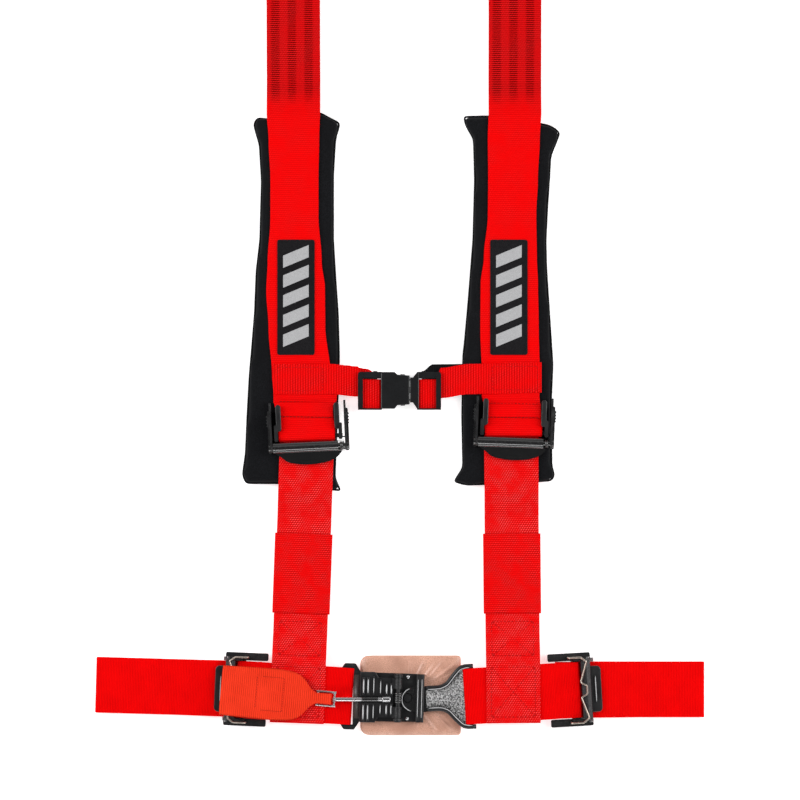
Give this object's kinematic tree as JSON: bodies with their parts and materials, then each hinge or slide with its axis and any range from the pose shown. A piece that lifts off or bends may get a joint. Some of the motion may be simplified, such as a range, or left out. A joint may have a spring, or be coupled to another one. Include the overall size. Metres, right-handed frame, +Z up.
{
  "type": "racing harness",
  "caption": "Racing harness laid flat: padded shoulder straps, chest buckle, cam adjusters, lap belt with latch and link, leather backing pad and bolt-in anchors.",
  "frame": {"origin": "middle of the underside of the harness's box as it lies flat", "axes": "+Z up from the table, +X along the lap belt towards the link's side, +Y along the shoulder straps towards their anchors"},
  "size_m": [0.5722, 0.9606, 0.0246],
  "materials": {
    "webbing_red": "woven polyester, satin",
    "webbing_orange": "woven polyester, satin",
    "pad_fabric": "matt knitted cover",
    "foam": "closed-cell foam",
    "label_fabric": "woven label",
    "zinc_steel": "zinc plated",
    "black_steel": "gloss black",
    "bronze_wire": "drawn spring wire",
    "bright_steel": "polished",
    "link_steel": "hammered",
    "buckle_plastic": "moulded acetal",
    "leather_tan": "soft smooth"
  },
  "bodies": {
    "root": {"backing_pad": "leather_tan", "buckle_female": "buckle_plastic", "buckle_male": "buckle_plastic", "chest_strap_l": "webbing_red", "chest_strap_r": "webbing_red", "label_l": "label_fabric", "label_r": "label_fabric", "lap_anchor_l": "zinc_steel", "lap_anchor_r": "zinc_steel", "lap_belt_l": "webbing_red", "lap_belt_r": "webbing_red", "lap_frame_l": "black_steel", "lap_frame_r": "black_steel", "lap_junction_l": "webbing_red", "lap_junction_r": "webbing_red", "lap_pin_l": "black_steel", "lap_pin_r": "black_steel", "lap_spring_l": "bronze_wire", "lap_spring_r": "bronze_wire", "latch_base": "black_steel", "latch_pin": "black_steel", "latch_rivets": "bright_steel", "latch_spring": "black_steel", "link": "link_steel", "lower_strap_l": "webbing_red", "lower_strap_r": "webbing_red", "pad_core_l": "foam", "pad_core_r": "foam", "pad_cover_l": "pad_fabric", "pad_cover_r": "pad_fabric", "shoulder_anchor_l": "zinc_steel", "shoulder_anchor_r": "zinc_steel", "shoulder_frame_l": "black_steel", "shoulder_frame_r": "black_steel", "shoulder_pin_l": "black_steel", "shoulder_pin_r": "black_steel", "shoulder_spring_l": "bronze_wire", "shoulder_spring_r": "bronze_wire", "shoulder_strap_l": "webbing_red", "shoulder_strap_r": "webbing_red", "strap_sleeve_l": "webbing_red", "strap_sleeve_r": "webbing_red", "strap_slide_l": "black_steel", "strap_slide_r": "black_steel"},
    "shoulder_cam_l": {"shoulder_lever_l": "black_steel"},
    "lap_cam_l": {"lap_lever_l": "black_steel"},
    "prong_l": {"buckle_prong_l": "buckle_plastic"},
    "shoulder_cam_r": {"shoulder_lever_r": "black_steel"},
    "lap_cam_r": {"lap_lever_r": "black_steel"},
    "prong_r": {"buckle_prong_r": "buckle_plastic"},
    "lever": {"latch_lever": "black_steel", "pull_rod": "bright_steel"},
    "tab": {"pull_tab": "webbing_orange", "tab_clasp": "bright_steel"}
  },
  "joints": [
    {"name": "shoulder_cam_l_hinge", "type": "hinge", "parent": "root", "child": "shoulder_cam_l", "pos_m": [-0.08488, -0.20916, 0.0201], "axis": [-0.9989, -0.0471, 0], "range_deg": [0, 35], "stiffness_Nm_per_rad": 0.02, "springref_deg": -20.05},
    {"name": "lap_cam_l_hinge", "type": "hinge", "parent": "root", "child": "lap_cam_l", "pos_m": [-0.15926, -0.43613, 0.0144], "axis": [0.0436, 0.999, 0], "range_deg": [0, 35], "stiffness_Nm_per_rad": 0.02, "springref_deg": -20.05},
    {"name": "shoulder_cam_r_hinge", "type": "hinge", "parent": "root", "child": "shoulder_cam_r", "pos_m": [0.10679, -0.20516, 0.0201], "axis": [-0.9994, 0.0349, 0], "range_deg": [0, 35], "stiffness_Nm_per_rad": 0.02, "springref_deg": -20.05},
    {"name": "lap_cam_r_hinge", "type": "hinge", "parent": "root", "child": "lap_cam_r", "pos_m": [0.17521, -0.43645, 0.0144], "axis": [0.0576, -0.9983, 0], "range_deg": [0, 35], "stiffness_Nm_per_rad": 0.02, "springref_deg": -20.05},
    {"name": "prong_l_flex", "type": "hinge", "parent": "root", "child": "prong_l", "pos_m": [0.01383, -0.14677, 0.0098], "axis": [0, 0, 1], "range_deg": [0, 6], "stiffness_Nm_per_rad": 0.05, "springref_deg": -1.15},
    {"name": "prong_r_flex", "type": "hinge", "parent": "root", "child": "prong_r", "pos_m": [0.01383, -0.16517, 0.0098], "axis": [0, 0, -1], "range_deg": [0, 6], "stiffness_Nm_per_rad": 0.05, "springref_deg": -1.15},
    {"name": "lever_hinge", "type": "hinge", "parent": "root", "child": "lever", "pos_m": [-0.00158, -0.44442, 0.0154], "axis": [0.0262, 0.9997, 0], "range_deg": [0, 100], "stiffness_Nm_per_rad": 0.05, "springref_deg": -51.57},
    {"name": "tab_hinge", "type": "hinge", "parent": "lever", "child": "tab", "pos_m": [-0.06131, -0.44557, 0.017], "axis": [0.0872, 0.9962, 0], "range_deg": [0, 80]}
  ]
}
